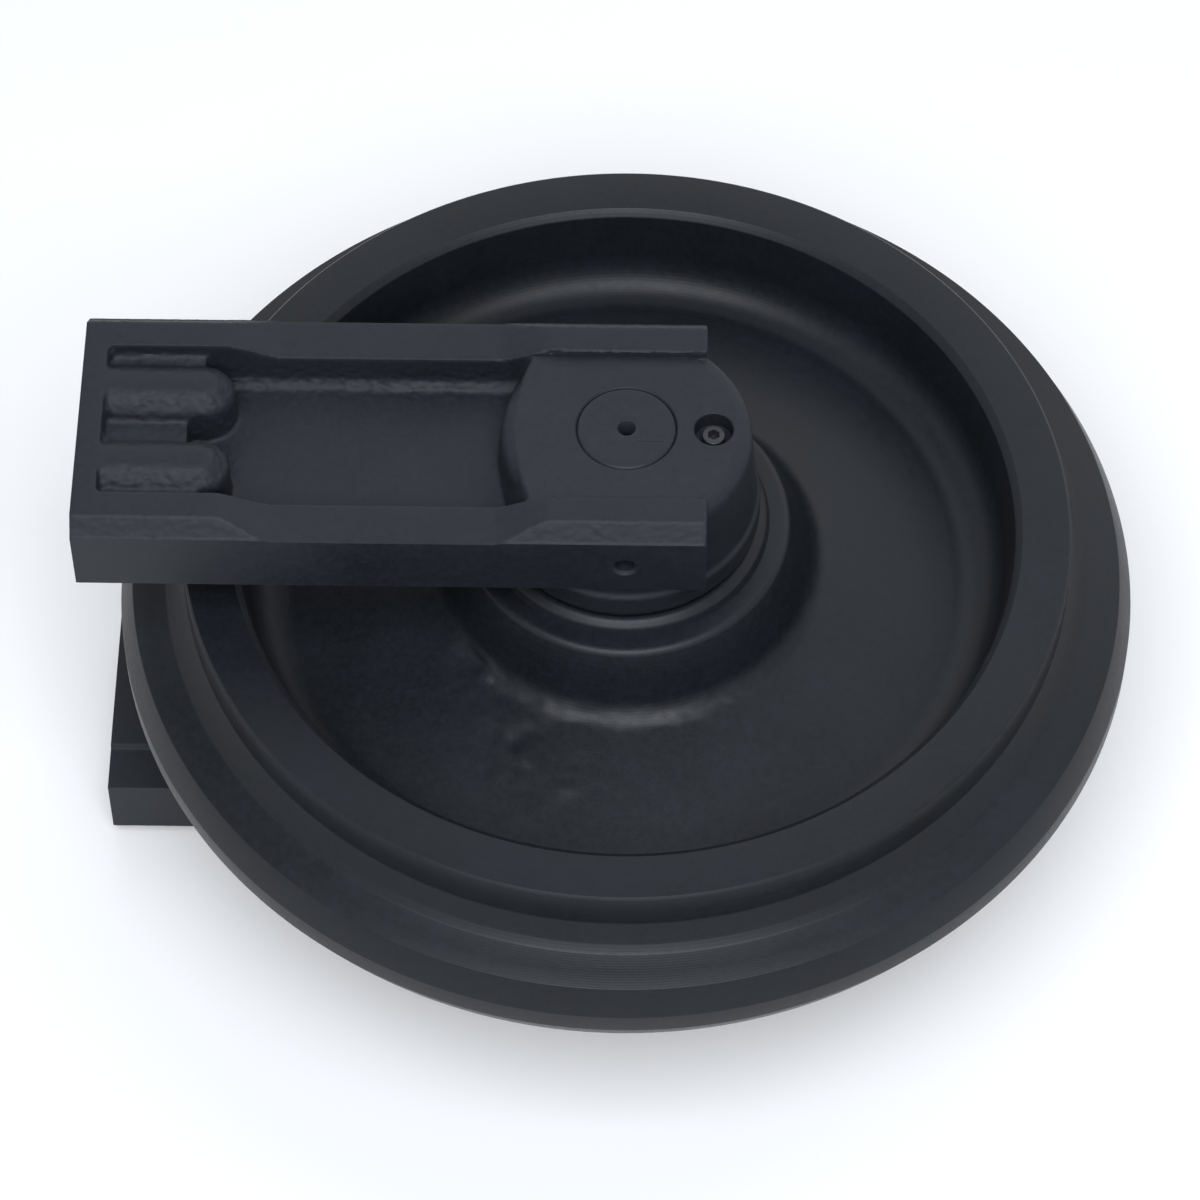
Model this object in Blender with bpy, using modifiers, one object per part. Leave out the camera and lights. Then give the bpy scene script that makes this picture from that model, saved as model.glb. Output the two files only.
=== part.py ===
"""Front idler of a crawler excavator, lying flat with its wheel axis upright.

A flanged cast wheel turns on two flanged bushes round a fixed shaft. A cast guide bracket
holds each end of the shaft, cross-pinned, and a pair of floating face seals closes the gap
between wheel and bracket on each side. Lengths are in metres.

The origin is the centre of the lower shaft end. +Z runs along the wheel axis, +X points
away from the yoke end of the brackets, and every piece is drawn from the wheel's middle plane.
"""

import math

import bpy
import bmesh
from mathutils import Matrix, Vector

# Gap between pieces that touch or press together on the real idler
FIT_GAP = 0.0003

# Wheel: guide flange
FLANGE_RADIUS = 0.280
FLANGE_CREST_WIDTH = 0.013
FLANGE_EDGE_WIDTH = 0.046
FLANGE_BEVEL_DEPTH = 0.0075
FLANGE_ROOT_WIDTH = 0.056

# Wheel: tread and rim
TREAD_RADIUS = 0.243
TREAD_FILLET = 0.012
TREAD_CHAMFER = 0.0015
RIM_WIDTH = 0.130
RIM_THICKNESS = 0.0265
RIM_INNER_CHAMFER = 0.004

# Wheel: dished web
WEB_THICKNESS = 0.024
DISH_FILLET = 0.022
RIM_WALL_DRAFT = 0.0035

# Wheel: hub
HUB_WIDTH = 0.130
HUB_FACE_WIDTH = 0.010
HUB_CHAMFER = 0.0025
HUB_FLARE = 0.0155
HUB_ROOT_WIDTH = 0.055
COLLAR_HEIGHT = 0.008
COLLAR_TIP_WIDTH = 0.0042
COLLAR_SLOPE = 0.004

# Shaft
SHAFT_DIAMETER = 0.053
SHAFT_LENGTH = 0.295
SHAFT_CHAMFER = 0.001
CENTRE_HOLE_DIAMETER = 0.010
CENTRE_HOLE_DEPTH = 0.012

# Bushes
BUSH_WALL = 0.0045
BUSH_RUNNING_GAP = 0.0003
BUSH_FLANGE_WIDTH = 0.006
BUSH_FLANGE_THICKNESS = 0.004
OIL_SPACE_LENGTH = 0.012
OIL_SPACE_DEPTH = 0.006

# Floating face seals
SEAL_RING_CLEARANCE = 0.0065
SEAL_RING_WALL = 0.008
SEAL_RING_LENGTH = 0.0098
SEAL_LIP_WIDTH = 0.008
SEAL_LIP_THICKNESS = 0.0032
SEAL_DEPTH = 0.0055
SEAL_END_SPACE = 0.005
TORIC_SECTION = 0.0104
SKIRT_WALL = 0.017
SKIRT_RUNNING_GAP = 0.0012
SKIRT_END_SPACE = 0.002

# Static ring between shaft and bracket
O_RING_SECTION = 0.003
O_RING_SETBACK = 0.014

# Guide bracket: overall form
YOKE_REACH = 0.292
RAIL_END_REACH = 0.043
BRACKET_WIDTH = 0.146
BRACKET_DEPTH = 0.040
RAIL_WIDTH = 0.025
RAIL_STAND = 0.0045
RAIL_DIP = 0.010
RAIL_BEVEL = 0.009
YOKE_PAD_LENGTH = 0.074
BOSS_PAD_LENGTH = 0.081
DIP_RUN = 0.033
FLOOR_THICKNESS = 0.018
FLOOR_FILLET = 0.008
END_WALL = 0.013
BACK_PAD_HEIGHT = 0.0025
BACK_PAD_MARGIN = 0.002

# Guide bracket: boss round the shaft
BOSS_RADIUS = 0.0675
BOSS_ROUND_WIDTH = 0.0095
BOSS_ROUND_DROP = 0.0085
BOSS_DRAFT = 0.003
SHOULDER_REACH = 0.0682
SHOULDER_RADIUS = 0.128
SHOULDER_DRAFT = 0.008
NECK_LENGTH = 0.025
NECK_CHAMFER = 0.0012
NECK_RING_WIDTH = 0.0023
NECK_RING_DROP = 0.010

# Guide bracket: the two bolt bosses at the yoke end
BOLT_GAP = 0.0166
BOLT_SLOT = 0.0067
BOLT_SLOT_DEPTH = 0.009
BOLT_BOSS_LENGTH = 0.0815
BOLT_BOSS_DROP = 0.0005
BOLT_BOSS_ROUND = 0.0085
BOLT_HOLE_DIAMETER = 0.0175
BOLT_HOLE_DEPTH = 0.058
BOLT_PAD_LENGTH = 0.057
BOLT_PAD_RISE = 0.014

# Cross pin through bracket and shaft
PIN_DIAMETER = 0.010
PIN_DEPTH = 0.0255
PIN_RECESS = 0.010
PIN_MOUTH = 0.002

# Oil plug beside the shaft
PLUG_OFFSET = 0.0465
PLUG_RECESS_DIAMETER = 0.021
PLUG_RECESS_DEPTH = 0.011
PLUG_THREAD_DIAMETER = 0.0098
PLUG_THREAD_LENGTH = 0.012
PLUG_HEAD_DIAMETER = 0.0125
PLUG_HEAD_THICKNESS = 0.0039
PLUG_SOCKET = 0.006
PLUG_SOCKET_DEPTH = 0.005
WASHER_THICKNESS = 0.0015
OIL_WAY_DIAMETER = 0.007

# Number of flats round a turned surface
WHEEL_STEPS = 48
SEAT_STEPS = 24
SMALL_STEPS = 16

# Sizes that follow from the ones above: distances from the middle plane
shaft_end = SHAFT_LENGTH / 2
hub_end = HUB_WIDTH / 2
rim_end = RIM_WIDTH / 2
seal_plane = hub_end - SEAL_DEPTH
hub_seat_floor = seal_plane - SEAL_RING_LENGTH - SEAL_END_SPACE - BUSH_FLANGE_THICKNESS
bracket_seat_roof = seal_plane + SEAL_RING_LENGTH + SEAL_END_SPACE
skirt_end = seal_plane + SKIRT_END_SPACE / 2
recess_floor = seal_plane - SKIRT_END_SPACE / 2
rail_top = shaft_end + RAIL_STAND
rail_low = rail_top - RAIL_DIP
bracket_back = rail_low - BRACKET_DEPTH
pocket_floor = bracket_back + FLOOR_THICKNESS
neck_end = bracket_back - NECK_LENGTH
neck_ring_top = bracket_back - NECK_RING_DROP
pin_height = shaft_end - PIN_DEPTH
o_ring_height = bracket_seat_roof + O_RING_SETBACK
plug_seat = shaft_end - PLUG_RECESS_DEPTH
bolt_height = bracket_back + BRACKET_DEPTH / 2

# Sizes that follow from the ones above: distances from the wheel axis
shaft_radius = SHAFT_DIAMETER / 2
bracket_bore = shaft_radius + FIT_GAP
bush_bore = shaft_radius + BUSH_RUNNING_GAP
bush_radius = bush_bore + BUSH_WALL
hub_bore = bush_radius + FIT_GAP
seal_ring_bore = shaft_radius + SEAL_RING_CLEARANCE
seal_ring_body = seal_ring_bore + SEAL_RING_WALL
seal_seat = seal_ring_body + TORIC_SECTION + 2 * FIT_GAP
skirt_radius = seal_seat + SKIRT_WALL
recess_radius = skirt_radius + SKIRT_RUNNING_GAP
collar_tip = recess_radius + COLLAR_TIP_WIDTH
collar_base = collar_tip + COLLAR_SLOPE
hub_radius = collar_base + HUB_FACE_WIDTH
hub_root = hub_radius + HUB_FLARE
rim_inner = TREAD_RADIUS - RIM_THICKNESS
rim_wall_top = rim_inner - RIM_INNER_CHAMFER
rim_wall_foot = rim_wall_top - RIM_WALL_DRAFT

# Half widths of the bracket
side_face = BRACKET_WIDTH / 2
rail_inner = side_face - RAIL_WIDTH
boss_foot = max(BOSS_RADIUS + BOSS_DRAFT, skirt_radius + NECK_CHAMFER)
bracket_half = max(side_face, boss_foot)
bolt_boss_width = rail_inner - BOLT_SLOT - BOLT_GAP / 2
bolt_centre = (BOLT_GAP + bolt_boss_width) / 2


def clear_scene():
    for obj in list(bpy.data.objects):
        bpy.data.objects.remove(obj, do_unlink=True)


def new_collection(name):
    collection = bpy.data.collections.new(name)
    bpy.context.scene.collection.children.link(collection)
    return collection


def new_material(name, colour, roughness, metallic):
    material = bpy.data.materials.new(name)
    material.use_nodes = True
    shader = material.node_tree.nodes["Principled BSDF"]
    shader.inputs["Base Color"].default_value = (*colour, 1.0)
    shader.inputs["Roughness"].default_value = roughness
    shader.inputs["Metallic"].default_value = metallic
    material.diffuse_color = (*colour, 1.0)
    return material


def arc(centre, radius, start, end, steps):
    """Points of a circular arc between two angles in degrees, both ends included."""
    points = []
    for step in range(steps + 1):
        angle = math.radians(start + (end - start) * step / steps)
        points.append((centre[0] + radius * math.cos(angle), centre[1] + radius * math.sin(angle)))
    return points


def smooth_step(start, end, steps):
    """Points of an S-curve that leaves one level flat and meets the other flat."""
    points = []
    for step in range(steps + 1):
        share = step / steps
        rise = share * share * (3 - 2 * share)
        points.append((start[0] + (end[0] - start[0]) * share, start[1] + (end[1] - start[1]) * rise))
    return points


def turned(name, profile, steps, closed=True):
    """A profile of (radius, height) points turned round Z. It runs outwards at the top and down outside."""
    mesh = bpy.data.meshes.new(name)
    edges = [(i, i + 1) for i in range(len(profile) - 1)]
    if closed:
        edges.append((len(profile) - 1, 0))
    mesh.from_pydata([(radius, 0.0, height) for radius, height in profile], edges, [])
    obj = bpy.data.objects.new(name, mesh)
    cutters.objects.link(obj)
    screw = obj.modifiers.new("turn", "SCREW")
    screw.axis = "Z"
    screw.steps = steps
    screw.render_steps = steps
    screw.use_merge_vertices = True
    screw.merge_threshold = 0.00001
    return baked(obj)


def ring(name, centre_radius, centre_height, section, steps, sides):
    """A ring of round section lying about the wheel axis."""
    bpy.ops.mesh.primitive_torus_add(
        major_segments=steps,
        minor_segments=sides,
        major_radius=centre_radius,
        minor_radius=section / 2,
        location=(0, 0, centre_height),
    )
    obj = bpy.context.object
    obj.name = name
    for collection in list(obj.users_collection):
        collection.objects.unlink(obj)
    cutters.objects.link(obj)
    return baked(obj)


def round_bar(name, radius, bottom, top, sides):
    """A plain bar along Z with a regular section."""
    mesh = bpy.data.meshes.new(name)
    work = bmesh.new()
    place_bar = Matrix.Translation((0, 0, (bottom + top) / 2))
    bmesh.ops.create_cone(
        work,
        cap_ends=True,
        segments=sides,
        radius1=radius,
        radius2=radius,
        depth=top - bottom,
        matrix=place_bar,
    )
    work.to_mesh(mesh)
    work.free()
    obj = bpy.data.objects.new(name, mesh)
    cutters.objects.link(obj)
    return baked(obj)


def baked(obj):
    """The object with its modifiers worked out, its doubles merged and its faces pointing out."""
    bpy.context.view_layer.update()
    graph = bpy.context.evaluated_depsgraph_get()
    mesh = bpy.data.meshes.new_from_object(obj.evaluated_get(graph))
    mesh.transform(obj.matrix_world)
    work = bmesh.new()
    work.from_mesh(mesh)
    bmesh.ops.remove_doubles(work, verts=work.verts, dist=0.000001)
    bmesh.ops.recalc_face_normals(work, faces=work.faces)
    work.to_mesh(mesh)
    work.free()
    name = obj.name
    bpy.data.objects.remove(obj, do_unlink=True)
    mesh.name = name
    result = bpy.data.objects.new(name, mesh)
    cutters.objects.link(result)
    result.hide_render = True
    result.display_type = "WIRE"
    return result


def plate(name, outline, thickness, frame):
    """A flat outline extruded to both sides of its plane, then set into place by a matrix."""
    curve = bpy.data.curves.new(name, "CURVE")
    curve.dimensions = "2D"
    curve.fill_mode = "BOTH"
    curve.extrude = thickness / 2
    spline = curve.splines.new("POLY")
    spline.points.add(len(outline) - 1)
    for point, (x, y) in zip(spline.points, outline):
        point.co = (x, y, 0.0, 1.0)
    spline.use_cyclic_u = True
    obj = bpy.data.objects.new(name, curve)
    cutters.objects.link(obj)
    obj.matrix_world = frame
    return baked(obj)


def rounded(obj, width, segments):
    """Rounds every sharp edge of an object."""
    bevel = obj.modifiers.new("round", "BEVEL")
    bevel.width = width
    bevel.segments = segments
    bevel.limit_method = "ANGLE"
    bevel.angle_limit = math.radians(50)
    return baked(obj)


def crowned(obj, width, segments):
    """Rounds only the edges round an object's flat top."""
    work = bmesh.new()
    work.from_mesh(obj.data)
    top = max(vertex.co.z for vertex in work.verts)
    rim = [edge for edge in work.edges if all(top - v.co.z < width / 100 for v in edge.verts)]
    rim = [edge for edge in rim if not edge.calc_face_angle(0) < math.radians(50)]
    bmesh.ops.bevel(work, geom=rim, offset=width, segments=segments, profile=0.5, affect="EDGES")
    bmesh.ops.remove_doubles(work, verts=work.verts, dist=0.000001)
    work.to_mesh(obj.data)
    work.free()
    return obj


def combined(obj, *steps):
    """The object after a row of Boolean steps, each an operation and a tool."""
    for operation, tool in steps:
        modifier = obj.modifiers.new(tool.name, "BOOLEAN")
        modifier.operation = operation
        modifier.solver = "EXACT"
        modifier.object = tool
    return baked(obj)


def looking_along_x(centre_x):
    """Sets an outline of (y, z) points across the bracket."""
    return Matrix(((0, 0, 1, centre_x), (1, 0, 0, 0), (0, 1, 0, 0), (0, 0, 0, 1)))


def looking_along_y(centre_y):
    """Sets an outline of (x, z) points along the bracket."""
    return Matrix(((1, 0, 0, 0), (0, 0, -1, centre_y), (0, 1, 0, 0), (0, 0, 0, 1)))


def place(name, solid, parent, material, collection):
    """One finished sub-part: its own object, sharing the solid's mesh, hung on its side of the idler."""
    obj = bpy.data.objects.new(name, solid.data.copy())
    obj.data.name = name
    obj.data.materials.clear()
    obj.data.materials.append(material)
    obj.data.shade_smooth()
    obj.data.set_sharp_from_angle(angle=math.radians(28))
    collection.objects.link(obj)
    obj.parent = parent
    return obj


def wheel_profile():
    """The wheel's section: one half from the bore out to the crest, then the same mirrored."""
    dish = (rim_wall_foot - DISH_FILLET, WEB_THICKNESS / 2 + DISH_FILLET)
    root_fillet = (TREAD_RADIUS + TREAD_FILLET, FLANGE_ROOT_WIDTH / 2 + TREAD_FILLET)
    half = [
        (hub_bore + OIL_SPACE_DEPTH, OIL_SPACE_LENGTH / 2),
        (hub_bore, OIL_SPACE_LENGTH / 2),
        (hub_bore, hub_seat_floor),
        (seal_seat, hub_seat_floor),
        (seal_seat, recess_floor),
        (recess_radius, recess_floor),
        (recess_radius, hub_end + COLLAR_HEIGHT),
        (collar_tip, hub_end + COLLAR_HEIGHT),
        (collar_base, hub_end),
        (hub_radius - HUB_CHAMFER, hub_end),
        (hub_radius, hub_end - HUB_CHAMFER),
        (hub_root, HUB_ROOT_WIDTH / 2),
    ]
    half += arc(dish, DISH_FILLET, 270, 360, 4)
    half += [
        (rim_wall_top, rim_end - RIM_INNER_CHAMFER),
        (rim_inner, rim_end),
        (TREAD_RADIUS - TREAD_CHAMFER, rim_end),
        (TREAD_RADIUS, rim_end - TREAD_CHAMFER),
    ]
    half += arc(root_fillet, TREAD_FILLET, 180, 270, 2)
    half += [
        (FLANGE_RADIUS - FLANGE_BEVEL_DEPTH, FLANGE_EDGE_WIDTH / 2),
        (FLANGE_RADIUS, FLANGE_CREST_WIDTH / 2),
    ]
    return half + [(radius, -height) for radius, height in reversed(half)]


def make_wheel():
    return turned("wheel_solid", wheel_profile(), WHEEL_STEPS)


def make_shaft():
    """A plain bar with a groove for each static ring, two cross holes and a centre hole in its upper end."""
    groove_floor = bracket_bore - O_RING_SECTION - 2 * FIT_GAP
    groove_half = O_RING_SECTION / 2 + FIT_GAP
    half = [
        (shaft_radius - SHAFT_CHAMFER, shaft_end),
        (shaft_radius, shaft_end - SHAFT_CHAMFER),
        (shaft_radius, o_ring_height + groove_half),
        (groove_floor, o_ring_height + groove_half),
        (groove_floor, o_ring_height - groove_half),
        (shaft_radius, o_ring_height - groove_half),
    ]
    profile = [(0, shaft_end)] + half + [(radius, -height) for radius, height in reversed(half)]
    profile.append((0, -shaft_end))
    bar = turned("shaft_solid", profile, SEAT_STEPS, closed=False)
    mouth = CENTRE_HOLE_DIAMETER / 2
    drill_point = CENTRE_HOLE_DIAMETER / 5
    drill_step = shaft_end - (mouth - drill_point) * math.tan(math.radians(60))
    over = shaft_end + mouth
    drill = [(0, over), (mouth, over), (mouth, shaft_end), (drill_point, drill_step)]
    drill += [(drill_point, shaft_end - CENTRE_HOLE_DEPTH), (0, shaft_end - CENTRE_HOLE_DEPTH)]
    centre_drill = turned("centre_drill", drill, SMALL_STEPS, closed=False)
    return combined(
        bar,
        ("DIFFERENCE", centre_drill),
        ("DIFFERENCE", cross_drill("upper_cross_drill", pin_height)),
        ("DIFFERENCE", cross_drill("lower_cross_drill", -pin_height)),
    )


def cross_drill(name, height):
    """The cross pin's hole, as a bar across the whole bracket with a widened mouth at both ends."""
    radius = PIN_DIAMETER / 2 + FIT_GAP
    reach = bracket_half + PIN_MOUTH
    half = [(radius + 2 * PIN_MOUTH, reach), (radius, bracket_half - PIN_MOUTH)]
    profile = [(0, reach)] + half + [(r, -z) for r, z in reversed(half)] + [(0, -reach)]
    bar = turned(name, profile, SMALL_STEPS, closed=False)
    bar.data.transform(Matrix.Translation((0, 0, height)) @ Matrix.Rotation(math.pi / 2, 4, "X"))
    return bar


def make_cross_pin():
    reach = bracket_half - PIN_RECESS
    radius = PIN_DIAMETER / 2
    edge = SHAFT_CHAMFER
    profile = [(0, reach), (radius - edge, reach), (radius, reach - edge)]
    profile += [(radius, edge - reach), (radius - edge, -reach), (0, -reach)]
    pin = turned("pin_solid", profile, SMALL_STEPS, closed=False)
    pin.data.transform(Matrix.Translation((0, 0, pin_height)) @ Matrix.Rotation(math.pi / 2, 4, "X"))
    return pin


def make_bush():
    """A bush whose flange rests on the floor of the hub's seal seat."""
    inner_end = OIL_SPACE_LENGTH / 2
    flange_back = hub_seat_floor + FIT_GAP
    flange_face = flange_back + BUSH_FLANGE_THICKNESS
    flange_radius = bush_radius + BUSH_FLANGE_WIDTH
    profile = [
        (bush_bore, flange_face),
        (flange_radius, flange_face),
        (flange_radius, flange_back),
        (bush_radius, flange_back),
        (bush_radius, inner_end),
        (bush_bore, inner_end),
    ]
    return turned("bush_solid", profile, SEAT_STEPS)


def make_seal_ring(side):
    """A hard metal face ring. Side -1 is the turning one under the seal plane, +1 the fixed one above it."""
    lap_face = seal_plane + side * FIT_GAP / 2
    lip_back = lap_face + side * SEAL_LIP_THICKNESS
    ring_end = lap_face + side * SEAL_RING_LENGTH
    lip = min(seal_ring_body + SEAL_LIP_WIDTH, seal_seat - FIT_GAP)
    section = [
        (seal_ring_bore, lap_face),
        (lip, lap_face),
        (lip, lip_back),
        (seal_ring_body, lip_back),
        (seal_ring_body, ring_end),
        (seal_ring_bore, ring_end),
    ]
    if side > 0:
        section.reverse()
    return turned("seal_ring_solid", section, SEAT_STEPS)


def make_toric(side):
    """The rubber ring that carries a face ring in its seat and presses it against the other one."""
    lip_back = seal_plane + side * (FIT_GAP / 2 + SEAL_LIP_THICKNESS)
    height = lip_back + side * (FIT_GAP + TORIC_SECTION / 2)
    return ring("toric_solid", (seal_ring_body + seal_seat) / 2, height, TORIC_SECTION, SEAT_STEPS, 6)


def make_o_ring():
    centre_radius = bracket_bore - FIT_GAP - O_RING_SECTION / 2
    return ring("o_ring_solid", centre_radius, o_ring_height, O_RING_SECTION, SEAT_STEPS, 6)


def bracket_stock():
    """The bracket's outside: its end view extruded along it, kept where its side view covers it."""
    end_view = [
        (-side_face, bracket_back),
        (side_face, bracket_back),
        (side_face, rail_low),
        (side_face - RAIL_BEVEL, rail_top),
        (RAIL_BEVEL - side_face, rail_top),
        (-side_face, rail_low),
    ]
    side_view = [(-YOKE_REACH, bracket_back), (RAIL_END_REACH, bracket_back), (RAIL_END_REACH, rail_top)]
    boss_pad = RAIL_END_REACH - BOSS_PAD_LENGTH
    yoke_pad = YOKE_PAD_LENGTH - YOKE_REACH
    side_view += smooth_step((boss_pad, rail_top), (boss_pad - DIP_RUN, rail_low), 6)
    side_view += smooth_step((yoke_pad + DIP_RUN, rail_low), (yoke_pad, rail_top), 6)
    side_view.append((-YOKE_REACH, rail_top))
    middle = (RAIL_END_REACH - YOKE_REACH) / 2
    length = RAIL_END_REACH + YOKE_REACH
    stock = plate("bracket_solid", end_view, length, looking_along_x(middle))
    side_cutter = plate("bracket_side_view", side_view, 2 * BRACKET_WIDTH, looking_along_y(0))
    return combined(stock, ("INTERSECT", side_cutter))


def pocket_cutter():
    """The channel between the rails, open over the boss and rounded along its floor."""
    start = END_WALL - YOKE_REACH
    end = RAIL_END_REACH + BOSS_RADIUS
    outline = [(start, -rail_inner), (end, -rail_inner), (end, rail_inner), (start, rail_inner)]
    height = rail_top - pocket_floor + 2 * FLOOR_FILLET
    middle = pocket_floor + height / 2
    cutter = plate("pocket_cutter", outline, height, Matrix.Translation((0, 0, middle)))
    return rounded(cutter, FLOOR_FILLET, 3)


def bolt_boss(name, centre_y):
    """A rounded bar round a yoke bolt's hole, with a round inner end."""
    half = bolt_boss_width / 2
    end = BOLT_BOSS_LENGTH - YOKE_REACH - half
    start = END_WALL / 2 - YOKE_REACH
    outline = [(start, centre_y - half)]
    outline += arc((end, centre_y), half, -90, 90, 8)
    outline.append((start, centre_y + half))
    top = rail_top - BOLT_BOSS_DROP
    bottom = bracket_back + FLOOR_THICKNESS / 2
    bar = plate(name, outline, top - bottom, Matrix.Translation((0, 0, (top + bottom) / 2)))
    return crowned(bar, min(BOLT_BOSS_ROUND, 0.8 * half), 3)


def block(name, low, high):
    """A plain block between two corners."""
    (x0, y0, z0), (x1, y1, z1) = low, high
    outline = [(x0, y0), (x1, y0), (x1, y1), (x0, y1)]
    return plate(name, outline, z1 - z0, Matrix.Translation((0, 0, (z0 + z1) / 2)))


def bolt_pad():
    """The raised floor between the two bolt bosses."""
    start = END_WALL / 2 - YOKE_REACH
    end = BOLT_PAD_LENGTH - YOKE_REACH
    bottom = bracket_back + FLOOR_THICKNESS / 2
    return block("bolt_pad", (start, -bolt_centre, bottom), (end, bolt_centre, pocket_floor + BOLT_PAD_RISE))


def slot_pad(name, side):
    """The floor of the shallow slot between a bolt boss and its rail."""
    ends = sorted((side * bolt_centre, side * (rail_inner + RAIL_WIDTH / 4)))
    start = END_WALL / 2 - YOKE_REACH
    end = BOLT_BOSS_LENGTH - YOKE_REACH - bolt_boss_width / 2
    bottom = bracket_back + FLOOR_THICKNESS / 2
    return block(name, (start, ends[0], bottom), (end, ends[1], rail_top - BOLT_SLOT_DEPTH))


def shoulder():
    """The drafted back of the shaft boss, a flat arc across the pocket from rail to rail."""
    axis = SHOULDER_RADIUS - SHOULDER_REACH
    bottom = bracket_back + FLOOR_THICKNESS / 2
    foot = SHOULDER_RADIUS + SHOULDER_DRAFT * (pocket_floor - bottom) / (shaft_end - pocket_floor)
    profile = [(0, shaft_end), (SHOULDER_RADIUS - SHOULDER_DRAFT, shaft_end), (foot, bottom), (0, bottom)]
    cone = turned("shoulder", profile, WHEEL_STEPS, closed=False)
    cone.data.transform(Matrix.Translation((axis, 0, 0)))
    half = rail_inner + RAIL_WIDTH / 4
    inner_end = -(bracket_bore + BOSS_RADIUS) / 2
    limits = block("shoulder_block", (-axis - foot, -half, 0), (inner_end, half, rail_top))
    return combined(cone, ("INTERSECT", limits))


def back_pad():
    """The low pad on the wheel side of the floor, between the rails."""
    half = rail_inner - BACK_PAD_MARGIN
    top = bracket_back + FLOOR_THICKNESS / 2
    return block("back_pad", (-YOKE_REACH, -half, bracket_back - BACK_PAD_HEIGHT), (-BOSS_RADIUS, half, top))


def boss():
    """The round boss: a crowned top edge, a drafted wall, a neck ring, and the skirt that enters the hub."""
    crown_start = BOSS_RADIUS - BOSS_ROUND_WIDTH
    profile = [(0, shaft_end)]
    for x, y in arc((0, 0), 1, 90, 0, 4):
        radius = crown_start + BOSS_ROUND_WIDTH * x
        profile.append((radius, shaft_end - BOSS_ROUND_DROP * (1 - y)))
    neck_ring = boss_foot + NECK_RING_WIDTH
    profile += [
        (boss_foot, neck_ring_top + NECK_CHAMFER),
        (neck_ring, neck_ring_top),
        (neck_ring, neck_end + NECK_CHAMFER),
        (neck_ring - NECK_CHAMFER, neck_end),
        (skirt_radius, neck_end),
        (skirt_radius, skirt_end),
        (0, skirt_end),
    ]
    return turned("boss", profile, WHEEL_STEPS, closed=False)


def bore_cutter():
    """The shaft's bore and the seal's seat under it."""
    over = rail_top + BOSS_RADIUS
    under = skirt_end - SKIRT_END_SPACE
    profile = [(0, over), (bracket_bore, over), (bracket_bore, bracket_seat_roof)]
    profile += [(seal_seat, bracket_seat_roof), (seal_seat, under), (0, under)]
    return turned("bore_cutter", profile, SEAT_STEPS, closed=False)


def plug_cutter():
    """The recess, threaded hole and oil way of the plug, drilled down into the seal's seat."""
    over = rail_top + PLUG_RECESS_DIAMETER
    recess = PLUG_RECESS_DIAMETER / 2
    thread = PLUG_THREAD_DIAMETER / 2 + FIT_GAP
    way = OIL_WAY_DIAMETER / 2
    thread_end = plug_seat - PLUG_THREAD_LENGTH - WASHER_THICKNESS
    profile = [(0, over), (recess, over), (recess, plug_seat), (thread, plug_seat), (thread, thread_end)]
    profile += [(way, thread_end), (way, bracket_seat_roof - way), (0, bracket_seat_roof - way)]
    cutter = turned("plug_cutter", profile, SMALL_STEPS, closed=False)
    cutter.data.transform(Matrix.Translation((PLUG_OFFSET, 0, 0)))
    return cutter


def bolt_hole(name, centre_y):
    """A blind hole into the yoke end, for one of the bolts that hold the bracket to its yoke."""
    mouth = END_WALL
    hole = round_bar(name, BOLT_HOLE_DIAMETER / 2, -mouth, BOLT_HOLE_DEPTH, SMALL_STEPS)
    turn = Matrix.Rotation(math.pi / 2, 4, "Y")
    hole.data.transform(Matrix.Translation((-YOKE_REACH, centre_y, bolt_height)) @ turn)
    return hole


def make_bracket():
    hollow = combined(bracket_stock(), ("DIFFERENCE", pocket_cutter()))
    filled = combined(
        hollow,
        ("UNION", bolt_pad()),
        ("UNION", slot_pad("far_slot_pad", 1)),
        ("UNION", slot_pad("near_slot_pad", -1)),
        ("UNION", bolt_boss("far_bolt_boss", bolt_centre)),
        ("UNION", bolt_boss("near_bolt_boss", -bolt_centre)),
        ("UNION", back_pad()),
        ("UNION", shoulder()),
        ("UNION", boss()),
    )
    return combined(
        filled,
        ("DIFFERENCE", bore_cutter()),
        ("DIFFERENCE", plug_cutter()),
        ("DIFFERENCE", cross_drill("bracket_cross_drill", pin_height)),
        ("DIFFERENCE", bolt_hole("far_bolt_hole", bolt_centre)),
        ("DIFFERENCE", bolt_hole("near_bolt_hole", -bolt_centre)),
    )


def make_washer():
    """The soft sealing washer on the floor of the plug's recess."""
    top = plug_seat + FIT_GAP + WASHER_THICKNESS
    outer = PLUG_HEAD_DIAMETER / 2
    inner = PLUG_THREAD_DIAMETER / 2 + FIT_GAP
    profile = [(inner, top), (outer, top), (outer, plug_seat + FIT_GAP), (inner, plug_seat + FIT_GAP)]
    washer = turned("washer_solid", profile, SMALL_STEPS)
    washer.data.transform(Matrix.Translation((PLUG_OFFSET, 0, 0)))
    return washer


def make_plug():
    """A round-headed plug with a hexagonal socket."""
    head_back = plug_seat + WASHER_THICKNESS + 2 * FIT_GAP
    head_top = head_back + PLUG_HEAD_THICKNESS
    head = PLUG_HEAD_DIAMETER / 2
    thread = PLUG_THREAD_DIAMETER / 2
    point = head_back - PLUG_THREAD_LENGTH
    edge = FIT_GAP
    profile = [(0, head_top), (head - edge, head_top), (head, head_top - edge), (head, head_back)]
    profile += [(thread, head_back), (thread, point), (0, point)]
    plug = turned("plug_solid", profile, SMALL_STEPS, closed=False)
    corner = PLUG_SOCKET / math.sqrt(3)
    socket = round_bar("socket", corner, head_top - PLUG_SOCKET_DEPTH, head_top + PLUG_SOCKET_DEPTH, 6)
    plug = combined(plug, ("DIFFERENCE", socket))
    plug.data.transform(Matrix.Translation((PLUG_OFFSET, 0, 0)))
    return plug


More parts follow.
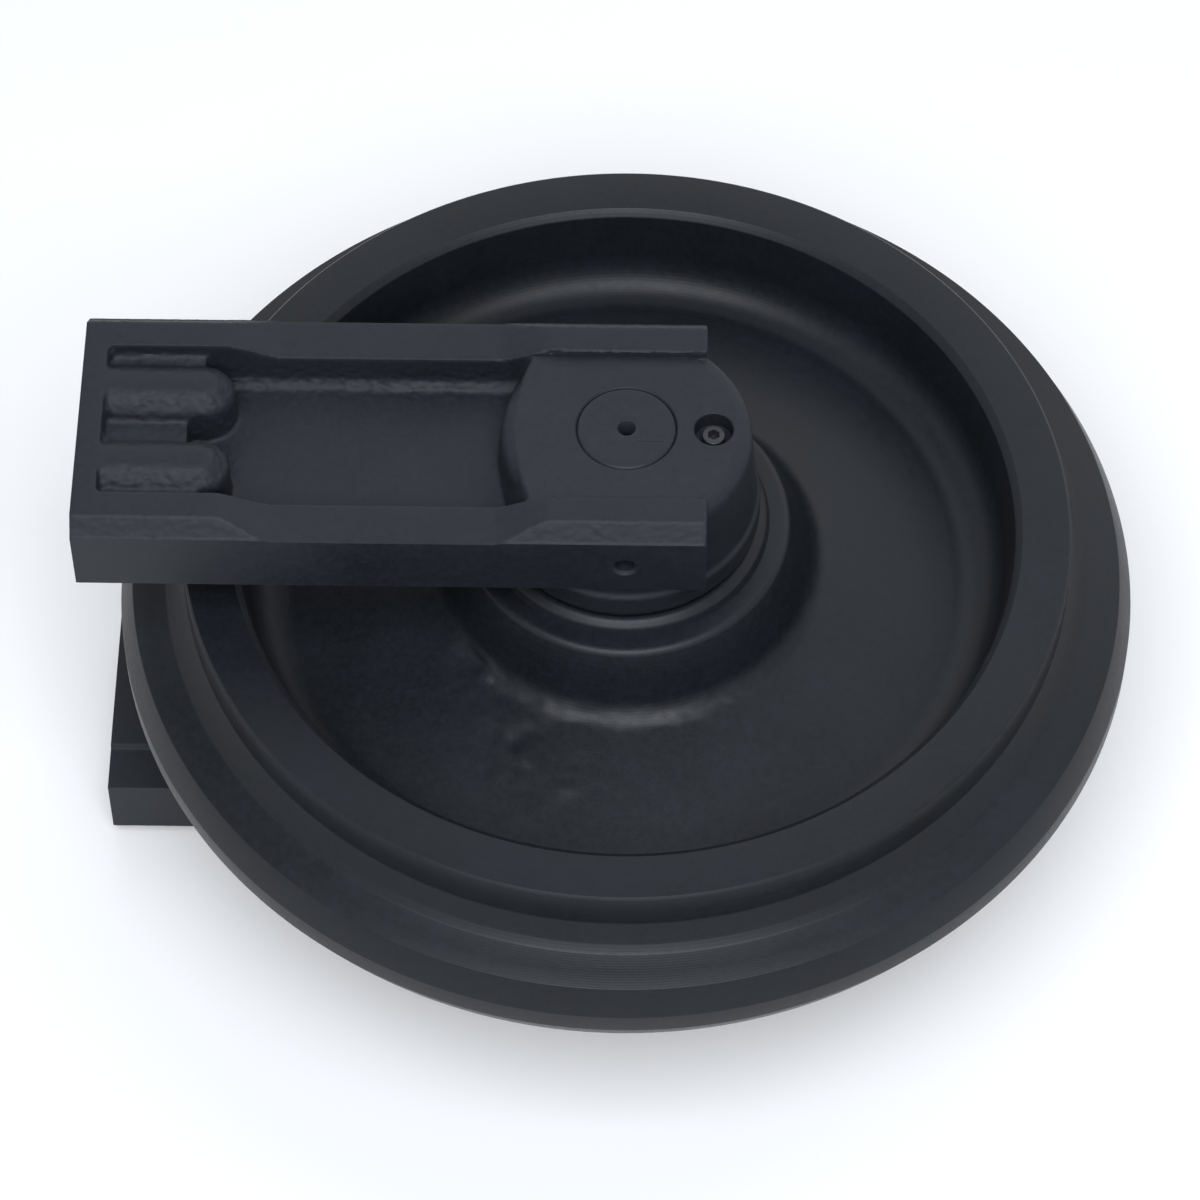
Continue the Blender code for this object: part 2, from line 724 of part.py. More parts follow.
clear_scene()
idler = new_collection("front_idler")
cutters = new_collection("cutters")

painted_cast = new_material("painted_cast_steel", (0.036, 0.040, 0.047), 0.45, 0.0)
painted_wheel = new_material("painted_forged_steel", (0.034, 0.038, 0.045), 0.42, 0.0)
ground_steel = new_material("painted_ground_steel", (0.038, 0.042, 0.049), 0.40, 0.0)
bronze = new_material("bush_bronze", (0.42, 0.24, 0.09), 0.35, 1.0)
face_iron = new_material("seal_face_iron", (0.35, 0.35, 0.36), 0.20, 1.0)
rubber = new_material("nitrile_rubber", (0.012, 0.012, 0.012), 0.75, 0.0)
plug_steel = new_material("blackened_plug_steel", (0.028, 0.030, 0.034), 0.38, 0.6)
pin_steel = new_material("pin_steel", (0.10, 0.10, 0.11), 0.40, 0.9)
copper = new_material("washer_copper", (0.45, 0.20, 0.11), 0.35, 1.0)

middle = bpy.data.objects.new("wheel_middle", None)
middle.location = (0, 0, shaft_end)
idler.objects.link(middle)
sides = {}
for side_name, turn in (("upper", 0.0), ("lower", math.pi)):
    side = bpy.data.objects.new(side_name + "_side", None)
    side.rotation_euler = (turn, 0, 0)
    side.parent = middle
    idler.objects.link(side)
    sides[side_name] = side

place("idler_wheel", make_wheel(), middle, painted_wheel, idler)
place("shaft", make_shaft(), middle, ground_steel, idler)

repeated = {
    "bracket": (make_bracket(), painted_cast),
    "bush": (make_bush(), bronze),
    "turning_seal_ring": (make_seal_ring(-1), face_iron),
    "fixed_seal_ring": (make_seal_ring(1), face_iron),
    "turning_toric": (make_toric(-1), rubber),
    "fixed_toric": (make_toric(1), rubber),
    "shaft_o_ring": (make_o_ring(), rubber),
    "cross_pin": (make_cross_pin(), pin_steel),
    "plug_washer": (make_washer(), copper),
    "oil_plug": (make_plug(), plug_steel),
}
for piece, (solid, material) in repeated.items():
    for side_name, side in sides.items():
        place(side_name + "_" + piece, solid, side, material, idler)

for tool in list(cutters.objects):
    if tool.name.endswith("_solid"):
        bpy.data.objects.remove(tool, do_unlink=True)
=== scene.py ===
# %% [markdown]
# # Finishing a front idler
# A front idler is the big free wheel at the front of a crawler's track. It lies here on its side, so
# the wheel's axis is upright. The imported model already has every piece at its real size. This lesson
# gives each piece the surface that the real one has: turned and forged steel for the wheel, sand-cast
# steel for the two guide brackets, ground steel for the shaft, all under one coat of dark paint.

import math

import bmesh
import bpy
import numpy as np
from mathutils import Matrix, Vector


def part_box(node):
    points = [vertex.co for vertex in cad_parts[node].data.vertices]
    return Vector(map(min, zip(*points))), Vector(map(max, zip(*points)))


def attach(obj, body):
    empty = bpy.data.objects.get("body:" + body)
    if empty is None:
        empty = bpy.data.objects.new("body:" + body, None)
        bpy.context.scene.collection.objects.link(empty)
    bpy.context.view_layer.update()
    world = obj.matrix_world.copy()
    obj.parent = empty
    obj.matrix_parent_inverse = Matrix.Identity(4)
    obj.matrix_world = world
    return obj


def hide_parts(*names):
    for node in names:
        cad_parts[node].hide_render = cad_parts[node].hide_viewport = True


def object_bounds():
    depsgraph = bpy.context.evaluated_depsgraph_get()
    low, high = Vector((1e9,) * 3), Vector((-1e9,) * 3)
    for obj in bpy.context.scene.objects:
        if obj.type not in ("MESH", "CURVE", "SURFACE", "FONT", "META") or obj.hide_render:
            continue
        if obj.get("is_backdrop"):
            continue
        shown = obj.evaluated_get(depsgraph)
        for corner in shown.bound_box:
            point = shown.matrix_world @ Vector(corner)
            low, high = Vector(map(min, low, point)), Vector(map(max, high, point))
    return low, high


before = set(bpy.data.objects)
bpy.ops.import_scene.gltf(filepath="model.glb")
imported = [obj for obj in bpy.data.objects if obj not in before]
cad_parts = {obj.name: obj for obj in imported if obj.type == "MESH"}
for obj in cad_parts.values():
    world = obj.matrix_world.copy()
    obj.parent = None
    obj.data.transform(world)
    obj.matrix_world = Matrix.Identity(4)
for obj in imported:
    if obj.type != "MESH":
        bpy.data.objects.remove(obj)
cad_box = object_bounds()

# %% [markdown]
# All sizes below are written in millimetres, as on a workshop drawing, and turned to metres in one
# place. Heights are counted from the wheel's middle plane, because everything mirrors about it. The
# frame's own boxes say where that plane lies.

# %% Units and the middle plane
MM = 0.001
wheel_low, wheel_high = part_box("idler_wheel")
shaft_low, shaft_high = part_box("shaft")
middle_height = (wheel_low.z + wheel_high.z) / 2
shaft_end = (shaft_high.z - shaft_low.z) / 2 / MM
flange_radius = wheel_high.x / MM
print(f"middle plane {middle_height / MM:.1f} mm up, shaft end {shaft_end:.2f} mm from it")

# %% [markdown]
# One small function adds a node to any tree, a shader's or a geometry's. It sets the node's own
# options, then fills each socket with a number or with a wire from another node. Two more add what
# comes up often: a step of arithmetic, and an object in the scene.

# %% Small helpers
def add_node(tree, kind, options=None, **inputs):
    node = tree.nodes.new(kind)
    for key, value in (options or {}).items():
        setattr(node, key, value)
    for key, value in inputs.items():
        index = int(key[1:]) if key[1:].isdigit() else None
        socket = node.inputs[index] if index is not None else node.inputs[key.replace("_", " ")]
        if isinstance(value, bpy.types.NodeSocket):
            tree.links.new(value, socket)
        else:
            socket.default_value = value
    return node


def maths(tree, operation, *values):
    inputs = {f"_{k}": value for k, value in enumerate(values)}
    return add_node(tree, "ShaderNodeMath", {"operation": operation}, **inputs).outputs[0]


def new_object(name, data):
    obj = bpy.data.objects.new(name, data)
    bpy.context.scene.collection.objects.link(obj)
    return obj


# %% [markdown]
# Paint on steel is two things at once: a dark pigment that scatters a little light, and a clear
# binder that shines. Workshops name colours by their screen values, so hex colours are written here
# and one function turns them into the linear light that the shader works in.

# %% Colours
def linear(hex_colour):
    values = [int(hex_colour[i : i + 2], 16) / 255 for i in (1, 3, 5)]
    light = [v / 12.92 if v <= 0.04045 else ((v + 0.055) / 1.055) ** 2.4 for v in values]
    return (*light, 1.0)


WHEEL_PAINT = ("#13161a", "#1b1f25")
BRACKET_PAINT = ("#1a1d22", "#25292f")
print("wheel paint in linear light:", [round(v, 4) for v in linear(WHEEL_PAINT[0])])

# %% [markdown]
# Every material here is built from the same few steps: a noise with grains of a known size, a blend
# of two colours, and a bump of a known depth.

# %% Steps that all materials share
def new_material(name):
    material = bpy.data.materials.new(name)
    material.use_nodes = True
    tree = material.node_tree
    return material, tree, tree.nodes["Principled BSDF"]


def noise(tree, place, size_mm, detail, roughness=0.6):
    sockets = {"Vector": place, "Scale": 1000 / size_mm, "Detail": detail, "Roughness": roughness}
    return add_node(tree, "ShaderNodeTexNoise", **sockets).outputs["Fac"]


def blend(tree, share, first, second):
    colours = {"_6": linear(first), "_7": linear(second)}
    return add_node(tree, "ShaderNodeMix", {"data_type": "RGBA"}, _0=share, **colours).outputs[2]


def bump(tree, height, depth_mm, **below):
    sockets = {"Strength": 1.0, "Distance": depth_mm * MM, "Height": height, **below}
    return add_node(tree, "ShaderNodeBump", **sockets).outputs["Normal"]


# %% [markdown]
# ## The paint
# The real idler is dipped or sprayed in a thin satin enamel, nearly black with a blue cast. What
# differs from piece to piece is the steel under it: turned faces keep fine rings, forged faces keep
# soft dents and cast faces keep the grain of the sand. So one function builds the enamel and takes
# the grain, in real millimetres, as its arguments.

# %% Enamel over steel
CLOUD_SIZE, MOTTLE_SIZE, RING_DEPTH = 60, 4, 0.006
# The shader's own value, 0.5, is clear lacquer. A dusty satin coat mirrors about half as much
SATIN_LEVEL = 0.26


def enamel(name, paint, grain_mm, grain_depth_mm, gloss, ring_pitch_mm=0.0):
    material, tree, shader = new_material(name)
    place = add_node(tree, "ShaderNodeTexCoord").outputs["Object"]

    # Slow changes of tone where the coat is thicker or has been handled, and over them the fine
    # mottle of dust that settled in the wet coat
    clouds = noise(tree, place, CLOUD_SIZE, 3.0)
    mottle = noise(tree, place, MOTTLE_SIZE, 4.0, 0.65)
    tone = maths(tree, "MULTIPLY_ADD", clouds, 0.75, mottle)
    worn = add_node(tree, "ShaderNodeMapRange", Value=tone, From_Min=0.62, From_Max=1.25)
    colour = blend(tree, worn.outputs["Result"], *paint)
    tree.links.new(colour, shader.inputs["Base Color"])

    shine = add_node(
        tree,
        "ShaderNodeMapRange",
        Value=tone,
        From_Min=0.5,
        From_Max=1.3,
        To_Min=gloss - 0.06,
        To_Max=gloss + 0.10,
    )
    tree.links.new(shine.outputs["Result"], shader.inputs["Roughness"])
    shader.inputs["Specular IOR Level"].default_value = SATIN_LEVEL

    relief = bump(tree, noise(tree, place, grain_mm, 5.0), grain_depth_mm)
    if ring_pitch_mm:
        # Rings left by the lathe tool: a wave on the distance from the axis
        across = {"_0": place, "_1": (1, 1, 0)}
        flat = add_node(tree, "ShaderNodeVectorMath", {"operation": "MULTIPLY"}, **across)
        radius = add_node(tree, "ShaderNodeVectorMath", {"operation": "LENGTH"}, _0=flat.outputs[0])
        turns = maths(tree, "MULTIPLY", radius.outputs["Value"], 2 * math.pi / (ring_pitch_mm * MM))
        relief = bump(tree, maths(tree, "SINE", turns), RING_DEPTH, Normal=relief)
    tree.links.new(relief, shader.inputs["Normal"])
    return material


# The wheel: satin enamel over turned and forged steel
turned_enamel = enamel(
    "satin_enamel_on_turned_steel",
    WHEEL_PAINT,
    grain_mm=2.5,
    grain_depth_mm=0.04,
    gloss=0.42,
    ring_pitch_mm=1.4,
)
# The brackets' skin: the same enamel, duller over the grain of sand-cast steel
cast_enamel = enamel(
    "satin_enamel_on_sand_cast_steel", BRACKET_PAINT, grain_mm=1.8, grain_depth_mm=0.11, gloss=0.56
)
# The brackets' milled faces: smoother steel under the same coat
milled_enamel = enamel(
    "satin_enamel_on_milled_steel", BRACKET_PAINT, grain_mm=1.4, grain_depth_mm=0.03, gloss=0.44
)
# The shaft: ground steel, the smoothest, with the fine rings of its turned ends
ground_enamel = enamel(
    "satin_enamel_on_ground_steel",
    BRACKET_PAINT,
    grain_mm=1.5,
    grain_depth_mm=0.02,
    gloss=0.38,
    ring_pitch_mm=0.9,
)
print("enamels:", turned_enamel.name, cast_enamel.name, milled_enamel.name, ground_enamel.name)

# %% [markdown]
# ## Bare metals and rubber
# Inside the hub nothing is painted. Bronze bushes and lapped iron rings are metals, so their colour
# is what they reflect and their index of refraction stays as it is. Nitrile rubber is a dull black
# with a dusty bloom.

# %% Inner materials
ROUGHNESS_SPREAD = 0.07


def plain_finish(name, light, dark, roughness, metallic, grain_mm, depth_mm):
    material, tree, shader = new_material(name)
    place = add_node(tree, "ShaderNodeTexCoord").outputs["Object"]
    grain = noise(tree, place, grain_mm, 4.0)
    low, high = roughness - ROUGHNESS_SPREAD, roughness + ROUGHNESS_SPREAD
    shine = add_node(tree, "ShaderNodeMapRange", Value=grain, To_Min=low, To_Max=high)
    tree.links.new(blend(tree, grain, dark, light), shader.inputs["Base Color"])
    tree.links.new(shine.outputs["Result"], shader.inputs["Roughness"])
    tree.links.new(bump(tree, grain, depth_mm), shader.inputs["Normal"])
    shader.inputs["Metallic"].default_value = metallic
    return material


# Each row: name, lighter and darker colour, roughness, metal or not, grain and its depth in mm
bronze = plain_finish("machined_bronze", "#c08a4c", "#9a6a36", 0.32, 1.0, 1.2, 0.01)
lapped_iron = plain_finish("lapped_white_iron", "#a9aaad", "#8d8e92", 0.18, 1.0, 0.8, 0.004)
nitrile = plain_finish("nitrile_rubber", "#1d1d1e", "#121213", 0.72, 0.0, 1.5, 0.03)
copper = plain_finish("soft_copper", "#b06a48", "#8a4d33", 0.36, 1.0, 1.0, 0.01)
black_steel = plain_finish("black_oxide_steel", "#2a2c31", "#1d1f23", 0.42, 0.0, 1.0, 0.02)
pin_steel = plain_finish("ground_dowel_steel", "#5d6067", "#46494f", 0.35, 0.9, 0.9, 0.01)
print("inner materials:", bronze.name, lapped_iron.name, nitrile.name, copper.name)

# %% [markdown]
# ## Turned pieces
# The wheel, the shaft, the bushes, the seals and the plugs are all turned: a section goes once round
# an axis. A geometry tree can do that with a flat grid. Each row of the grid takes the radius and
# the height of one point of the section, each column takes an angle, and the grid closes on itself.
# The tree needs only the section's points, so a change of the section never breaks it.

# %% The turning tree
SEAM = 0.000002  # metres: points nearer than this, where the grid closes, become one


def turning_tree():
    tree = bpy.data.node_groups.new("turned_round_an_axis", "GeometryNodeTree")
    sockets = tree.interface
    sockets.new_socket("Section", in_out="INPUT", socket_type="NodeSocketGeometry")
    steps = sockets.new_socket("Steps", in_out="INPUT", socket_type="NodeSocketInt")
    steps.default_value = 96
    steps.min_value = 12
    sockets.new_socket("Material", in_out="INPUT", socket_type="NodeSocketMaterial")
    sockets.new_socket("Geometry", in_out="OUTPUT", socket_type="NodeSocketGeometry")
    source = tree.nodes.new("NodeGroupInput").outputs
    sink = tree.nodes.new("NodeGroupOutput")

    size = add_node(tree, "GeometryNodeAttributeDomainSize", Geometry=source["Section"])
    rows = size.outputs["Point Count"]
    columns = maths(tree, "ADD", source["Steps"], 1.0)
    grid = add_node(tree, "GeometryNodeMeshGrid", Vertices_X=columns, Vertices_Y=rows)
    index = add_node(tree, "GeometryNodeInputIndex").outputs[0]
    by_rows = {"_0": index, "_1": rows}
    column = add_node(tree, "FunctionNodeIntegerMath", {"operation": "DIVIDE_FLOOR"}, **by_rows)
    row = add_node(tree, "FunctionNodeIntegerMath", {"operation": "MODULO"}, **by_rows)
    point = add_node(
        tree,
        "GeometryNodeSampleIndex",
        {"data_type": "FLOAT_VECTOR", "domain": "POINT"},
        Geometry=source["Section"],
        Value=add_node(tree, "GeometryNodeInputPosition").outputs[0],
        Index=row.outputs[0],
    )
    one_step = maths(tree, "DIVIDE", 2 * math.pi, source["Steps"])
    swung = add_node(
        tree,
        "ShaderNodeVectorRotate",
        {"rotation_type": "Z_AXIS"},
        Vector=point.outputs["Value"],
        Angle=maths(tree, "MULTIPLY", column.outputs[0], one_step),
    ).outputs[0]
    wrapped = add_node(tree, "GeometryNodeSetPosition", Geometry=grid.outputs["Mesh"], Position=swung)
    merged = {"Geometry": wrapped.outputs[0], "Distance": SEAM}
    closed = add_node(tree, "GeometryNodeMergeByDistance", **merged)
    real = add_node(tree, "GeometryNodeRealizeInstances", Geometry=closed.outputs[0]).outputs[0]
    coated = add_node(tree, "GeometryNodeSetMaterial", Geometry=real, Material=source["Material"])
    tree.links.new(coated.outputs[0], sink.inputs[0])
    return tree


turning = turning_tree()
print("turning tree has", len(turning.nodes), "nodes")

# %% [markdown]
# A tree works on an object, and the finished piece has to be a plain mesh. So one helper puts the
# start mesh in an object, sets the tree's inputs by their identifiers, reads the result and throws
# the helper object away. Normals are made to point outwards afterwards.

# %% Running a tree
def evaluated_mesh(obj):
    graph = bpy.context.evaluated_depsgraph_get()
    return bpy.data.meshes.new_from_object(obj.evaluated_get(graph))


def run_tree(name, start, tree, **values):
    source = new_object(name + "_start", start)
    modifier = source.modifiers.new("tree", "NODES")
    modifier.node_group = tree
    for item in tree.interface.items_tree:
        if item.item_type == "SOCKET" and item.in_out == "INPUT" and item.name in values:
            modifier[item.identifier] = values[item.name]
    mesh = evaluated_mesh(source)
    bpy.data.objects.remove(source)
    mesh.name = name
    return mesh


def facing_out(mesh):
    work = bmesh.new()
    work.from_mesh(mesh)
    loose = [vertex for vertex in work.verts if not vertex.link_faces]
    bmesh.ops.delete(work, geom=loose, context="VERTS")
    bmesh.ops.recalc_face_normals(work, faces=work.faces)
    open_edges = sum(not edge.is_manifold for edge in work.edges)
    volume = work.calc_volume(signed=True) * 1e6
    work.to_mesh(mesh)
    work.free()
    print(f"{mesh.name}: {len(mesh.polygons)} faces, {open_edges} open edges, {volume:.1f} cm3")
    return mesh


# %% [markdown]
# No real edge is a perfect corner. A machinist writes a section as corners and says how far each is
# broken or rounded. This helper does the same: it takes corners as radius, height and rounding, puts
# an arc at each, and adds points on long straight runs so that shading stays even.

# %% Sections with rounded corners
# An arc takes at most this share of each run beside it, is left out when it would take less than
# this many millimetres, and is drawn in pieces of at most this many degrees
ARC_SHARE, ARC_LEAST, ARC_PIECE = 0.45, 0.01, 18


def rounded_section(corners, closed=True, longest=5.0):
    count = len(corners)
    outline = []
    for i, (r, z, rounding) in enumerate(corners):
        here = Vector((r, z))
        end_point = not closed and i in (0, count - 1)
        if rounding <= 0 or end_point:
            outline.append(here)
            continue
        before = Vector(corners[i - 1][:2]) - here
        after = Vector(corners[(i + 1) % count][:2]) - here
        half_turn = (math.pi - before.angle(after)) / 2
        most = min(ARC_SHARE * before.length, ARC_SHARE * after.length)
        reach = min(rounding * math.tan(half_turn), most)
        if reach < ARC_LEAST:
            outline.append(here)
            continue
        first = here + before.normalized() * reach
        last = here + after.normalized() * reach
        pieces = max(2, math.ceil(math.degrees(2 * half_turn) / ARC_PIECE))
        bulge = math.cos(half_turn)
        for k in range(pieces + 1):
            t = k / pieces
            a, b, c = (1 - t) ** 2, 2 * t * (1 - t) * bulge, t**2
            outline.append((first * a + here * b + last * c) / (a + b + c))
    if closed:
        outline.append(outline[0])
    points = [outline[0]]
    for start, end in zip(outline, outline[1:]):
        pieces = max(1, math.ceil((end - start).length / longest))
        points += [start.lerp(end, k / pieces) for k in range(1, pieces + 1)]
    return points


def arc_points(centre_r, centre_z, radius, start, end, count):
    angles = [math.radians(start + (end - start) * k / count) for k in range(count + 1)]
    return [(centre_r + radius * math.cos(a), centre_z + radius * math.sin(a), 0) for a in angles]


def turned_piece(name, corners, steps, material, closed=True, longest=5.0, flip=1, height=None):
    points = rounded_section(corners, closed, longest)
    start = bpy.data.meshes.new(name + "_section")
    base = middle_height if height is None else height
    start.from_pydata([(p.x * MM, 0, p.y * MM * flip + base) for p in points], [], [])
    return new_object(name, facing_out(run_tree(name, start, turning, Steps=steps, Material=material)))


def finish_shading(obj, sharp_degrees=32):
    obj.data.shade_smooth()
    obj.data.set_sharp_from_angle(angle=math.radians(sharp_degrees))


# %% [markdown]
# ## The wheel
# The wheel is forged and then turned where it matters: the rims, the treads, the guide flange and
# the hub ends. The dished web between them stays as it left the die. Its section is written for one
# half and mirrored, because the wheel is the same on both sides. Fillets that are worth a radius of
# their own, at the hub's foot and at the dish, are true arcs.

# %% The wheel's section
HUB_BORE, OIL_SPACE = 31.6, 37.6
SEAL_SEAT, SEAL_FLOOR = 52.0, 40.7
RECESS, RECESS_FLOOR = 70.2, 58.5
HUB_FACE, COLLAR_TOP = 65.0, 73.0
TREAD, RIM_INNER, RIM_FACE = 243.0, 216.5, 65.0
FOOT_CENTRE, FOOT_RADIUS, HUB_FOOT = (117.3, 43.4), 18.0, (104.4, 27.5)
WEB_START, WEB_EDGE, WEB_HALF, WEB_STEP, DISH_RADIUS = 116.0, 187.0, 12.0, 2.1, 22.0

half_section = [
    (OIL_SPACE, 6.0, 1.5),
    (HUB_BORE, 6.0, 0.4),
    (HUB_BORE, SEAL_FLOOR, 0.4),
    (SEAL_SEAT, SEAL_FLOOR, 2.0),
    (SEAL_SEAT, RECESS_FLOOR, 0.8),
    (RECESS, RECESS_FLOOR, 0.8),
    (RECESS, COLLAR_TOP - 0.1, 0.6),
    (73.0, COLLAR_TOP - 0.5, 3.0),
    (76.8, COLLAR_TOP - 3.3, 2.5),
    (78.4, HUB_FACE, 0),
    (88.9, HUB_FACE, 5.0),
]
half_section += arc_points(*FOOT_CENTRE, FOOT_RADIUS, 202.5, 259.4, 14)
# The web thins outwards in a straight line from the hub's foot. Its dents need points close together
for r in np.arange(WEB_START, WEB_EDGE - 2, WEB_STEP):
    share = (r - HUB_FOOT[0]) / (WEB_EDGE - HUB_FOOT[0])
    half_section.append((float(r), HUB_FOOT[1] + (WEB_HALF - HUB_FOOT[1]) * share, 0))
half_section += arc_points(WEB_EDGE, WEB_HALF + DISH_RADIUS, DISH_RADIUS, 268, 360, 14)
half_section += [
    (212.5, 61.0, 1.5),
    (RIM_INNER, RIM_FACE, 0.8),
    (TREAD - 1.4, RIM_FACE, 0.3),
    (TREAD, RIM_FACE - 1.4, 0.3),
    (TREAD, 40.5, 4.0),
    (249.8, 31.2, 3.0),
    (254.0, 27.75, 3.0),
    (flange_radius - 7.5, 23.0, 0.9),
    (flange_radius, 6.5, 0.9),
]
wheel_section = half_section + [(r, -z, rounding) for r, z, rounding in reversed(half_section)]
wheel = turned_piece("wheel_forging", wheel_section, 300, turned_enamel, longest=14.0)

# %% [markdown]
# The web isn't as smooth as the turned faces. Round the hub's foot the die left a lumpy bead, and
# beyond it three shallow dents lie on one side of the web. A second tree pushes points along their
# normals by a noise pattern, and an attribute on the mesh says where and how much. The same tree
# will give the brackets their cast skin.

# %% The skin tree
def skin_tree():
    tree = bpy.data.node_groups.new("uneven_skin", "GeometryNodeTree")
    sockets = tree.interface
    sockets.new_socket("Piece", in_out="INPUT", socket_type="NodeSocketGeometry")
    for label, value in (("Depth", 0.0002), ("Grain", 0.004), ("Seed", 1.0)):
        number = sockets.new_socket(label, in_out="INPUT", socket_type="NodeSocketFloat")
        number.default_value = value
    sockets.new_socket("Material", in_out="INPUT", socket_type="NodeSocketMaterial")
    sockets.new_socket("Geometry", in_out="OUTPUT", socket_type="NodeSocketGeometry")
    source = tree.nodes.new("NodeGroupInput").outputs
    sink = tree.nodes.new("NodeGroupOutput")

    grain = add_node(
        tree,
        "ShaderNodeTexNoise",
        {"noise_dimensions": "4D"},
        Vector=add_node(tree, "GeometryNodeInputPosition").outputs[0],
        W=source["Seed"],
        Scale=maths(tree, "DIVIDE", 1.0, source["Grain"]),
        Detail=3.0,
        Roughness=0.55,
    )
    centred = maths(tree, "SUBTRACT", grain.outputs["Fac"], 0.5)
    share = add_node(tree, "GeometryNodeInputNamedAttribute", {"data_type": "FLOAT"}, Name="skin")
    local = maths(tree, "MULTIPLY", centred, share.outputs["Attribute"])
    push = add_node(
        tree,
        "ShaderNodeVectorMath",
        {"operation": "SCALE"},
        _0=add_node(tree, "GeometryNodeInputNormal").outputs[0],
        Scale=maths(tree, "MULTIPLY", local, source["Depth"]),
    ).outputs[0]
    moved = add_node(tree, "GeometryNodeSetPosition", Geometry=source["Piece"], Offset=push)
    real = add_node(tree, "GeometryNodeRealizeInstances", Geometry=moved.outputs[0]).outputs[0]
    coated = add_node(tree, "GeometryNodeSetMaterial", Geometry=real, Material=source["Material"])
    tree.links.new(coated.outputs[0], sink.inputs[0])
    return tree


skin = skin_tree()


def coordinates(mesh):
    values = np.empty(len(mesh.vertices) * 3)
    mesh.vertices.foreach_get("co", values)
    return values.reshape(-1, 3)


def set_skin(mesh, values):
    attribute = mesh.attributes.get("skin") or mesh.attributes.new("skin", "FLOAT", "POINT")
    attribute.data.foreach_set("value", values.astype(np.float32))


def ramp(values, low, high):
    share = np.clip((values - low) / (high - low), 0, 1)
    return share * share * (3 - 2 * share)


# %% Dents and bead on the wheel
DENTS = ((-78, -74, 17), (-59, -126, 17), (-24, -144, 12))  # x, y and spread of each, in mm
PLAIN_SKIN, DENT_SKIN = 0.12, 2.6
BEAD_RADIUS, BEAD_SPREAD = 109, 6

where = coordinates(wheel.data)
wheel_r = np.hypot(where[:, 0], where[:, 1]) / MM
on_web = ramp(wheel_r, 101, 106) * (1 - ramp(wheel_r, 182, 196))
dented = sum(
    np.exp(-((where[:, 0] / MM - x) ** 2 + (where[:, 1] / MM - y) ** 2) / size**2)
    for x, y, size in DENTS
)
set_skin(wheel.data, on_web * (PLAIN_SKIN + DENT_SKIN * dented))
values = {"Depth": 2.0 * MM, "Grain": 11 * MM, "Seed": 3.0, "Material": turned_enamel}
wheel.data = run_tree("wheel_forging", wheel.data, skin, **values)

# The bead goes all round, four times as high on the side of the dents
dented_side = ramp(-(where[:, 0] * 0.45 + where[:, 1] * 0.89) / (wheel_r * MM), 0.0, 0.8)
bead = np.exp(-(((wheel_r - BEAD_RADIUS) / BEAD_SPREAD) ** 2)) * (0.25 + 0.75 * dented_side)
set_skin(wheel.data, bead)
values = {"Depth": 2.8 * MM, "Grain": 15 * MM, "Seed": 5.0, "Material": turned_enamel}
wheel.data = facing_out(run_tree("wheel_forging", wheel.data, skin, **values))
finish_shading(wheel)
print(f"wheel from radius {wheel_r.min():.1f} to {wheel_r.max():.1f} mm")

# %% [markdown]
# ## The shaft and its pieces
# The shaft is a ground bar. Its upper end shows in the bracket: a turned face with a centre hole, as
# the lathe needs. Grooves for the O-rings and cross holes for the pins are inside the brackets. The
# bar is turned by the tree, and the two cross holes are cut with a Boolean, as a drill would.

# %% Tools that cut
def as_object(work, name):
    mesh = bpy.data.meshes.new(name)
    work.to_mesh(mesh)
    work.free()
    return new_object(name, mesh)


def cut(obj, tool, operation="DIFFERENCE"):
    modifier = obj.modifiers.new("cut", "BOOLEAN")
    modifier.operation = operation
    modifier.solver = "MANIFOLD"
    modifier.object = tool
    mesh = evaluated_mesh(obj)
    obj.modifiers.remove(modifier)
    mesh.name = obj.name
    obj.data = mesh
    bpy.data.objects.remove(tool)


def coat(obj, *materials):
    """Boolean cuts leave an empty slot, so the materials are set again after them."""
    obj.data.materials.clear()
    for material in materials:
        obj.data.materials.append(material)


def turned_tool(name, corners, steps, where_to):
    tool = turned_piece(name, corners, steps, None, closed=False, height=0.0)
    tool.data.transform(where_to)
    return tool


to_middle = Matrix.Translation((0, 0, middle_height))
lie_along_y = Matrix.Rotation(math.pi / 2, 4, "X")
lie_along_x = Matrix.Rotation(math.pi / 2, 4, "Y")

# %% Shaft
SHAFT_R, O_RING_HEIGHT, PIN_HEIGHT = 26.5, 88.3, 122.0
GROOVE_R, GROOVE_HALF = 23.2, 1.8
PIN_BORE, PIN_CHAMFER_START, PIN_BORE_REACH = 5.3, 71.4, 80.0


def at_pins(side):
    return Matrix.Translation((0, 0, middle_height + side * PIN_HEIGHT * MM))


def pin_hole_tool(side):
    wide_end = (PIN_BORE + 9.0, PIN_BORE_REACH, 0)
    corners = [(0, PIN_BORE_REACH, 0), wide_end, (PIN_BORE, PIN_CHAMFER_START, 0)]
    corners += [(r, -z, 0) for r, z, _ in reversed(corners)]
    return turned_tool("pin_hole", corners, 48, at_pins(side) @ lie_along_y)


